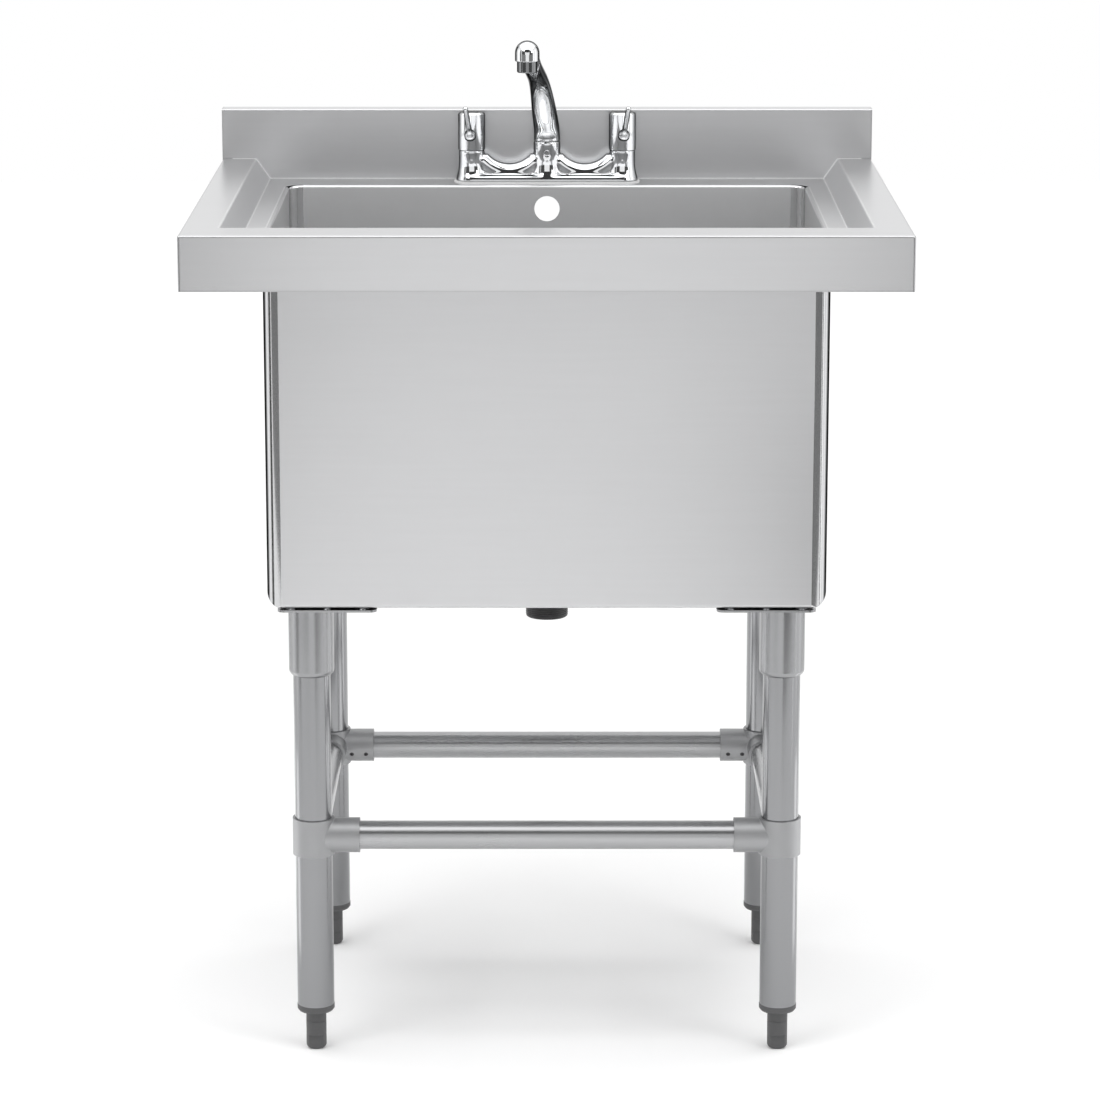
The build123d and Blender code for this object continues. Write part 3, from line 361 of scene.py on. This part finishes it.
def new_skin(name):
    """A new material with its tree, its shader and a socket that gives the place on the piece."""
    made = bpy.data.materials.new(name)
    made.use_nodes = True
    tree = made.node_tree
    where = tree.nodes.new("ShaderNodeTexCoord").outputs["Object"]
    return made, tree, tree.nodes["Principled BSDF"], where


def effect(tree, group, where, **values):
    """Puts one of the shared effects in a tree and gives its outputs."""
    made = tree.nodes.new("ShaderNodeGroup")
    made.node_tree = group
    link(tree, where, made.inputs["Vector"])
    for name, value in values.items():
        made.inputs[name].default_value = value
    return made.outputs


def roughen(tree, skin, height, strength):
    """Lets a height value bend a shader's normal."""
    ridge = add(tree, "ShaderNodeBump", Strength=strength, Distance=BUMP_DEPTH)
    link(tree, height, ridge.inputs["Height"])
    link(tree, ridge.outputs[0], skin.inputs["Normal"])


print("bump depth:", BUMP_DEPTH)

# %% Metal maker
HANDLING_SCALE = 5.0


def metal(name, colour, rough, stretch, bump, shine=0.06, plating=1.0):
    """A brushed or drawn metal. stretch is the grain's density along X, Y and Z, per metre."""
    made, tree, skin, where = new_skin(name)
    skin.inputs["Metallic"].default_value = plating
    laid = add(tree, "ShaderNodeMapping", Scale=stretch)
    link(tree, where, laid.inputs["Vector"])
    brushed = effect(tree, grain, laid.outputs[0])
    handled = effect(tree, marks, where, Size=HANDLING_SCALE)
    link(tree, tinted(tree, brushed["Streak"], colour, 0.98, 1.02), skin.inputs["Base Color"])
    broad_part = spread(tree, handled["Cloud"], rough - shine, rough + shine)
    fine_part = spread(tree, brushed["Height"], -shine / 2, shine / 2)
    link(tree, maths(tree, "ADD", broad_part, fine_part), skin.inputs["Roughness"])
    roughen(tree, skin, brushed["Height"], bump)
    return made


print("handling marks per metre:", HANDLING_SCALE)

# %% The metals
paints_before = len(bpy.data.materials)
sheet_look = {"rough": 0.29, "stretch": (60, 1500, 1500), "bump": 0.05, "shine": 0.025, "plating": 0.93}
# painted light: the sink top's steel is a little paler than the bowl's, though both are the same brushed sheet
sheet_steel = metal("brushed sheet steel", (0.60, 0.602, 0.61), **sheet_look)
bowl_steel = metal("brushed bowl steel", (0.57, 0.572, 0.58), **sheet_look)
plate_steel = metal("satin plate steel", (0.325, 0.328, 0.335), 0.24, (60, 900, 900), 0.2)
upright_tube = metal("drawn tube, upright", (0.285, 0.288, 0.295), 0.19, (1200, 1200, 25), 0.06)
long_rail = metal("drawn tube, along X", (0.42, 0.423, 0.43), 0.29, (25, 1200, 1200), 0.06)
side_rail = metal("drawn tube, along Y", (0.42, 0.423, 0.43), 0.29, (1200, 25, 1200), 0.06)
plain_steel = metal("zinc screw", (0.10, 0.10, 0.102), 0.4, (400, 400, 400), 0.2)
polished_steel = metal("polished steel", (0.66, 0.665, 0.67), 0.16, (300, 300, 300), 0.05)
chrome = metal("chrome plate", (0.80, 0.81, 0.82), 0.045, (200, 200, 200), 0.0, shine=0.015)
# painted dark reflection: the nozzle's chrome is darker, standing in for the dark part of the room it mirrors
dark_reflection_chrome = metal("shaded chrome", (0.22, 0.225, 0.23), 0.09, (200, 200, 200), 0.0, shine=0.02)
brass = metal("turned brass", (0.72, 0.52, 0.24), 0.28, (60, 60, 1600), 0.12)
cast_metal = metal("cast and blasted metal", (0.385, 0.388, 0.395), 0.5, (700, 700, 700), 0.45, shine=0.05)
print("metals:", len(bpy.data.materials) - paints_before)

# %% [markdown]
# ## Painted dark outlines on chrome
# Where chrome turns away from the eye it mirrors the unlit part of the room, which draws a thin dark line
# round every round shape. Layer Weight measures how far a surface has turned away, so that dark line is
# painted instead: a painted reflection of the dark room in the base colour, without filling the scene with
# black walls.

# %% Outlines
UNLIT = (0.02, 0.021, 0.022)


def recolour(material, factor, colour):
    """Blends what a material's base colour already is towards another colour."""
    tree = material.node_tree
    base = tree.nodes["Principled BSDF"].inputs["Base Color"]
    link(tree, blend(tree, factor, base.links[0].from_socket, colour), base)


def outline(material, start, end, strength, mask=None):
    """Paints a dark reflection into a metal's colour where it turns away from the eye, everywhere or only under
    a mask.
    """
    tree = material.node_tree
    turned = add(tree, "ShaderNodeLayerWeight", Blend=0.5)
    amount = add(tree, "ShaderNodeMapRange", From_Min=start, From_Max=end, To_Max=strength)
    link(tree, turned.outputs["Facing"], amount.inputs["Value"])
    factor = amount.outputs[0] if mask is None else maths(tree, "MULTIPLY", amount.outputs[0], mask)
    recolour(material, factor, UNLIT)


outlined = (chrome, dark_reflection_chrome)
for plated in outlined:
    outline(plated, start=0.36, end=0.80, strength=0.90)
    # painted dark reflection: a low Specular Tint darkens the chrome's reflection at its edges
    plated.node_tree.nodes["Principled BSDF"].inputs["Specular Tint"].default_value = (0.25, 0.25, 0.25, 1)
print("outlined:", len(outlined))

# %% [markdown]
# ## Painted light inside the bowl
# The bowl's inner faces get a paler base colour than its outside. It is painted light that brightens the deep
# inside of the bowl. The inner faces could have a material of their own, but a CAD mesh stays as it is, so
# the inside is told from the outside by place: a point less than half a sheet beyond the inner size is on the
# inner face. Distance is measured from the axes of the rounded corners, so the test follows the wall round
# them. The mask only blends the base colour.

# %% Places
def place_in(tree):
    """Sockets with the X, Y and Z of a place on the piece, in metres."""
    spot = tree.nodes.new("ShaderNodeTexCoord")
    split = tree.nodes.new("ShaderNodeSeparateXYZ")
    link(tree, spot.outputs["Object"], split.inputs[0])
    return split.outputs["X"], split.outputs["Y"], split.outputs["Z"]


def past(tree, place, axis_place):
    """How far a place lies beyond a corner's axis, away from the middle, or else 0."""
    beyond = maths(tree, "SUBTRACT", maths(tree, "ABSOLUTE", place), axis_place)
    return maths(tree, "MAXIMUM", beyond, 0.0)


print("place helpers: place_in, past")

# %% Bowl inside
SHEET = 0.001
CORNER_RADIUS = 0.016
BOWL_FLOOR = 0.517
BOWL_HALF_X, BOWL_HALF_Y, BOWL_MIDDLE_Y = 0.306, 0.2425, -0.0015
bowl_tree = bowl_steel.node_tree
bowl_x, bowl_y, bowl_z = place_in(bowl_tree)
past_x = past(bowl_tree, bowl_x, BOWL_HALF_X - CORNER_RADIUS)
past_y = past(bowl_tree, maths(bowl_tree, "SUBTRACT", bowl_y, BOWL_MIDDLE_Y), BOWL_HALF_Y - CORNER_RADIUS)
squares = maths(bowl_tree, "ADD", maths(bowl_tree, "POWER", past_x, 2.0), maths(bowl_tree, "POWER", past_y, 2.0))
within = maths(bowl_tree, "LESS_THAN", maths(bowl_tree, "SQRT", squares), CORNER_RADIUS + SHEET / 2)
above = maths(bowl_tree, "GREATER_THAN", bowl_z, BOWL_FLOOR - SHEET / 2)
inside = maths(bowl_tree, "MULTIPLY", within, above)
# painted light: the bowl's inner faces take a paler base colour
recolour(bowl_steel, inside, (0.80, 0.802, 0.806))
print("bowl inside:", round(2 * BOWL_HALF_X, 3), "by", round(2 * BOWL_HALF_Y, 3))

# %% [markdown]
# ## Polished corners
# The upright corners of a folded bowl are welded and then dressed smooth, so they mirror thin dark and light
# lines while the brushed faces beside them stay soft. The same place values pick the corners out, and on the
# outside they take a painted dark outline as the chrome does: a painted reflection that darkens their colour
# and the tint of their reflection where they turn away from the eye.

# %% Bowl corners
CORNER_POLISH = 0.62
bowl_skin = bowl_tree.nodes["Principled BSDF"]
round_x = maths(bowl_tree, "GREATER_THAN", past_x, 0.0)
round_y = maths(bowl_tree, "GREATER_THAN", past_y, 0.0)
at_corner = maths(bowl_tree, "MULTIPLY", round_x, round_y)
brushed_rough = bowl_skin.inputs["Roughness"].links[0].from_socket
rough_left = maths(bowl_tree, "SUBTRACT", 1.0, maths(bowl_tree, "MULTIPLY", at_corner, CORNER_POLISH))
link(bowl_tree, maths(bowl_tree, "MULTIPLY", brushed_rough, rough_left), bowl_skin.inputs["Roughness"])
outer_corner = maths(bowl_tree, "MULTIPLY", at_corner, maths(bowl_tree, "SUBTRACT", 1.0, inside))
# painted dark reflection on the outer corners, in the base colour
outline(bowl_steel, start=0.38, end=0.55, strength=0.92, mask=outer_corner)
# painted dark reflection: the outer corners' Specular Tint is dark, so their reflection darkens at the edges
corner_dark_edge_tint = blend(bowl_tree, outer_corner, (1, 1, 1), (0.1, 0.1, 0.1))
link(bowl_tree, corner_dark_edge_tint, bowl_skin.inputs["Specular Tint"])
print("corner radius:", CORNER_RADIUS)

# %% [markdown]
# ## Painted light on the bends
# Where the sheet is folded inside the rim, the bend gets a paler base colour: a painted highlight for the thin
# light line it catches. The Bevel node gives the normal a rounder surface would have. Where that differs from
# the real one there is a bend, and place values tell the folds between the rim, the deck and the upstand from
# those outside the rim, which get a darker base colour: painted shade. The outer folds are in a narrow strip
# along the top's edge.

# %% Where the sheet bends
BEND_RADIUS = 0.003
sheet_tree = sheet_steel.node_tree
rounder = add(sheet_tree, "ShaderNodeBevel", Radius=BEND_RADIUS)
real = sheet_tree.nodes.new("ShaderNodeNewGeometry")
likeness = sheet_tree.nodes.new("ShaderNodeVectorMath")
likeness.operation = "DOT_PRODUCT"
link(sheet_tree, rounder.outputs["Normal"], likeness.inputs[0])
link(sheet_tree, real.outputs["Normal"], likeness.inputs[1])
bent = add(sheet_tree, "ShaderNodeMapRange", From_Min=0.995, From_Max=0.95)
link(sheet_tree, likeness.outputs["Value"], bent.inputs["Value"])
print("bend radius:", BEND_RADIUS)

# %% Painted highlight and shade on the bends
RIM_Z = 0.94
RIM_EDGE = 0.012
sheet_x, sheet_y, sheet_z = place_in(sheet_tree)
between_sides = maths(sheet_tree, "LESS_THAN", maths(sheet_tree, "ABSOLUTE", sheet_x), cad_box[1][0] - RIM_EDGE)
behind_front = maths(sheet_tree, "GREATER_THAN", sheet_y, cad_box[0][1] + RIM_EDGE)
below_rim = maths(sheet_tree, "LESS_THAN", sheet_z, RIM_Z + SHEET)
in_tray = maths(sheet_tree, "MULTIPLY", maths(sheet_tree, "MULTIPLY", between_sides, behind_front), below_rim)
out_of_tray = maths(sheet_tree, "SUBTRACT", 1.0, in_tray)
# painted highlight: the folds inside the rim take a paler base colour
recolour(sheet_steel, maths(sheet_tree, "MULTIPLY", bent.outputs[0], in_tray), (0.95, 0.952, 0.955))
# painted shade: the folds outside the rim take a darker base colour
recolour(sheet_steel, maths(sheet_tree, "MULTIPLY", bent.outputs[0], out_of_tray), (0.44, 0.442, 0.447))
print("bright bends below:", RIM_Z)

# %% [markdown]
# ## Plastics and rubber
# The feet are moulded grey plastic and the waste is black. Both have a faint mould texture that keeps their
# highlights soft. Rubber is made the same way, rougher and with less shine.

# %% Plastic maker
MOULD_SCALE = 900.0
MOULD_SPREAD = 0.08


def plastic(name, colour, rough, bump, shine=0.5):
    """A moulded plastic or rubber with a fine matte skin."""
    made, tree, skin, where = new_skin(name)
    skin.inputs["Specular IOR Level"].default_value = shine
    mould = effect(tree, marks, where, Size=MOULD_SCALE)["Cloud"]
    link(tree, tinted(tree, mould, colour, 0.85, 1.12), skin.inputs["Base Color"])
    link(tree, spread(tree, mould, rough - MOULD_SPREAD, rough + MOULD_SPREAD), skin.inputs["Roughness"])
    roughen(tree, skin, mould, bump)
    return made


print("mould marks per metre:", MOULD_SCALE)

# %% The plastics
paints_before = len(bpy.data.materials)
grey_plastic = plastic("grey moulded plastic", (0.085, 0.085, 0.087), 0.5, 0.3)
black_plastic = plastic("black moulded plastic", (0.018, 0.018, 0.019), 0.4, 0.2)
black_rubber = plastic("black rubber", (0.02, 0.02, 0.02), 0.7, 0.3, shine=0.3)
pale_gasket = plastic("pale gasket", (0.62, 0.62, 0.62), 0.5, 0.2, shine=0.4)
print("plastics:", len(bpy.data.materials) - paints_before)

# %% [markdown]
# ## Finishes on the CAD pieces
# Each CAD piece names a material slot. One table turns slots into finishes. A second one names the pieces that
# need their own: the bowl with its masks, the rails whose grain runs along them, and the nozzle, whose darker
# chrome is a painted reflection of a darker part of the room. The pieces' meshes are left alone and only their
# materials change.

# %% Give each CAD piece its finish
finishes = {
    "brushed_sheet": sheet_steel,
    "satin_plate": plate_steel,
    "satin_tube": upright_tube,
    "cast_connector": cast_metal,
    "plain_steel": plain_steel,
    "grey_plastic": grey_plastic,
    "polished_steel": polished_steel,
    "black_plastic": black_plastic,
    "black_rubber": black_rubber,
    "pale_gasket": pale_gasket,
    "brass": brass,
    "dark_plastic": black_plastic,
    "chrome": chrome,
}
own_finishes = {
    "bowl": bowl_steel,
    "rail_front": long_rail,
    "rail_back": long_rail,
    "rail_left": side_rail,
    "rail_right": side_rail,
    "aerator_shell": dark_reflection_chrome,
}
for part in frame["record"]["subparts"]:
    finish = own_finishes.get(part["node"], finishes[part["material_slot"]])
    mesh = nodes[part["node"]].data
    for index in range(len(mesh.materials)):
        mesh.materials[index] = finish

# %% [markdown]
# ## The tap body as a casting
# The CAD body joins its pillars, arms and base with sharp corners, because each is a plain solid. The real
# one is cast in one pour, ground and polished, so every corner inside it flows. Filleting each edge by hand
# would take long and fail where three meet. Here a copy is remeshed to an even skin of small squares and
# then relaxed: corners melt by a few millimetres while the broad shapes stay.

# %% Casting helpers
WELD = 0.000002
SKIN_SQUARE = 0.0007


def merged_copy(name, node):
    """A CAD node's mesh as one connected skin in a new object."""
    skin = bmesh.new()
    skin.from_mesh(nodes[node].data)
    bmesh.ops.remove_doubles(skin, verts=skin.verts, dist=WELD)
    return object_from(name, skin)


def melt(thing, rounds, group=""):
    """Relaxes a piece's mesh in a number of rounds, all of it or only one vertex group."""
    relaxed = thing.modifiers.new("melted corners", "SMOOTH")
    relaxed.factor = 0.5
    relaxed.iterations = rounds
    relaxed.vertex_group = group


def settle(thing):
    """Bakes a piece's modifiers into its mesh."""
    seen = thing.evaluated_get(bpy.context.evaluated_depsgraph_get())
    baked = bpy.data.meshes.new_from_object(seen)
    thing.modifiers.clear()
    thing.data = baked


def cast(thing, node, body, rounds):
    """Gives a piece one even skin, melts its corners in a number of rounds and puts it in a node's place."""
    even = thing.modifiers.new("even skin", "REMESH")
    even.mode = "VOXEL"
    even.voxel_size = SKIN_SQUARE
    even.use_smooth_shade = True
    melt(thing, rounds)
    settle(thing)
    thing.data.materials.append(chrome)
    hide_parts(node)
    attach(thing, body)


print("side of a square of skin:", SKIN_SQUARE)

# %% Tap casting
def ease(thing, low, high, fade, rounds):
    """Melts a piece's corners further between two heights, fading in and out at the ends of that band."""
    band = thing.vertex_groups.new(name="band")
    for vertex in thing.data.vertices:
        depth = min(vertex.co.z - low, high - vertex.co.z) / fade
        if depth > 0:
            band.add([vertex.index], min(1.0, depth), "REPLACE")
    melt(thing, rounds, band.name)
    settle(thing)


tap_casting = merged_copy("tap_casting", "tap_body")
cast(tap_casting, "tap_body", "sink", rounds=30)
ease(tap_casting, low=0.922, high=0.953, fade=0.004, rounds=80)
print("tap casting faces:", len(tap_casting.data.polygons))

# %% [markdown]
# ## The spout's neck
# The CAD tube is cut square under the spout's head. A cast one flows into it. One ring of points on the tube
# and two arcs on the near side of the head are wrapped in a convex hull, which fills that corner, and the same
# remesh joins it to the spout. Each row of points is one point turned about an axis in even steps.

# %% Spout measures
SPOUT_YAW = radians(9)
TUBE_LEAN = radians(27)
TUBE_RADIUS, HEAD_RADIUS = 0.0108, 0.0140
TAP_Y = 0.275
DECK_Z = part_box("tap_gasket")[0][2]
RING_OUT, RING_Z = 0.111, DECK_Z + 0.1516
HEAD_BOTTOM = DECK_Z + 0.1592
ARC_RISE = 0.011
head_low, head_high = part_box("aerator_shell")
head_x, head_y = (head_low[0] + head_high[0]) / 2, (head_low[1] + head_high[1]) / 2
out_along = Vector((-sin(SPOUT_YAW), -cos(SPOUT_YAW), 0))
print("head's bottom at", round(HEAD_BOTTOM, 4))

# %% Rows of points
ROW_STEPS = 24


def turned_row(skin, point, centre, axis, angle, closed=False):
    """A row of points in a mesh: one point turned about an axis. A closed row ends where it starts."""
    first = bmesh.ops.create_vert(skin, co=point)["vert"]
    bmesh.ops.spin(skin, geom=first, cent=centre, axis=axis, angle=angle, steps=ROW_STEPS, use_merge=closed)


def head_arc(skin, height, half_angle):
    """Points on the side of the spout's head that faces the tube."""
    centre = Vector((head_x, head_y, height))
    start = Matrix.Rotation(-half_angle, 3, "Z") @ (-out_along * HEAD_RADIUS)
    turned_row(skin, centre + start, centre, (0, 0, 1), 2 * half_angle)


print("row helpers: turned_row, head_arc")

# %% Spout casting
tube_centre = Vector((0, TAP_Y, RING_Z)) + out_along * RING_OUT
tube_along = out_along * cos(TUBE_LEAN) + Vector((0, 0, sin(TUBE_LEAN)))
tube_up = Vector((0, 0, cos(TUBE_LEAN))) - out_along * sin(TUBE_LEAN)
neck = bmesh.new()
turned_row(neck, tube_centre + tube_up * TUBE_RADIUS, tube_centre, tube_along, 2 * pi, closed=True)
head_arc(neck, HEAD_BOTTOM, half_angle=radians(38))
head_arc(neck, HEAD_BOTTOM + ARC_RISE, half_angle=radians(50))
bmesh.ops.remove_doubles(neck, verts=neck.verts, dist=WELD)
bmesh.ops.convex_hull(neck, input=neck.verts)
bmesh.ops.recalc_face_normals(neck, faces=neck.faces)
spout_casting = merged_copy("spout_casting", "spout")
neck.from_mesh(spout_casting.data)
neck.to_mesh(spout_casting.data)
neck.free()
cast(spout_casting, "spout", "spout", rounds=10)
print("spout casting faces:", len(spout_casting.data.polygons))

# %% [markdown]
# ## Screw threads
# The waste tail and the tap tails are plain rods in the CAD. A thread is a ridge that climbs as it goes round,
# so a small profile with a wide foot and a narrow crest is spun about the rod while each step lifts it a
# little. The ends are closed with a face. The Screw modifier could do this too, but the spin operator leaves a
# plain mesh at once. Foot and crest are half widths, given in pitches.

# %% Thread maker
STEPS_ROUND = 40
SUNK = 0.0001
FOOT, CREST = 0.42, 0.06
THREAD_WELD = 0.000005


def thread(name, centre, radius, low, high, pitch, rise, material):
    """A spiral ridge on a rod, from one height to another. Its foot is sunk a little into the rod."""
    turns = int((high - low) / pitch) - 1
    ridge = bmesh.new()
    start = low + pitch / 2
    profile = ((-SUNK, -pitch * FOOT), (rise, -pitch * CREST), (rise, pitch * CREST), (-SUNK, pitch * FOOT))
    corners = [ridge.verts.new((centre[0] + radius + out, centre[1], start + up)) for out, up in profile]
    face = ridge.faces.new(corners)
    edges = list(face.edges)
    spun = bmesh.ops.spin(
        ridge, geom=edges + corners, cent=(centre[0], centre[1], 0), axis=(0, 0, 1),
        dvec=(0, 0, pitch / STEPS_ROUND), angle=2 * pi * turns, steps=STEPS_ROUND * turns)
    bmesh.ops.contextual_create(ridge, geom=[e for e in spun["geom_last"] if isinstance(e, bmesh.types.BMEdge)])
    bmesh.ops.remove_doubles(ridge, verts=ridge.verts, dist=THREAD_WELD)
    bmesh.ops.recalc_face_normals(ridge, faces=ridge.faces)
    thing = object_from(name, ridge)
    thing.data.materials.append(material)
    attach(thing, "sink")
    return thing


print("steps round a thread:", STEPS_ROUND)

# %% Threads
THREAD_START = 0.001
WASTE_THREAD_STOP, TAIL_THREAD_STOP = 0.0405, 0.0355
TAIL_X = 0.09
waste_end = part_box("waste_body")[0][2]
waste_thread = thread(
    "waste_tail_thread", (0, BOWL_MIDDLE_Y), radius=0.0239,
    low=waste_end + THREAD_START, high=waste_end + WASTE_THREAD_STOP,
    pitch=0.00231, rise=0.0005, material=black_plastic)
tail_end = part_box("tap_tails")[0][2]
for side, tail_x in (("left", -TAIL_X), ("right", TAIL_X)):
    thread(
        f"tap_tail_thread_{side}", (tail_x, TAP_Y), radius=0.01045,
        low=tail_end + THREAD_START, high=tail_end + TAIL_THREAD_STOP,
        pitch=0.00181, rise=0.0004, material=brass)
print("thread faces:", len(waste_thread.data.polygons))
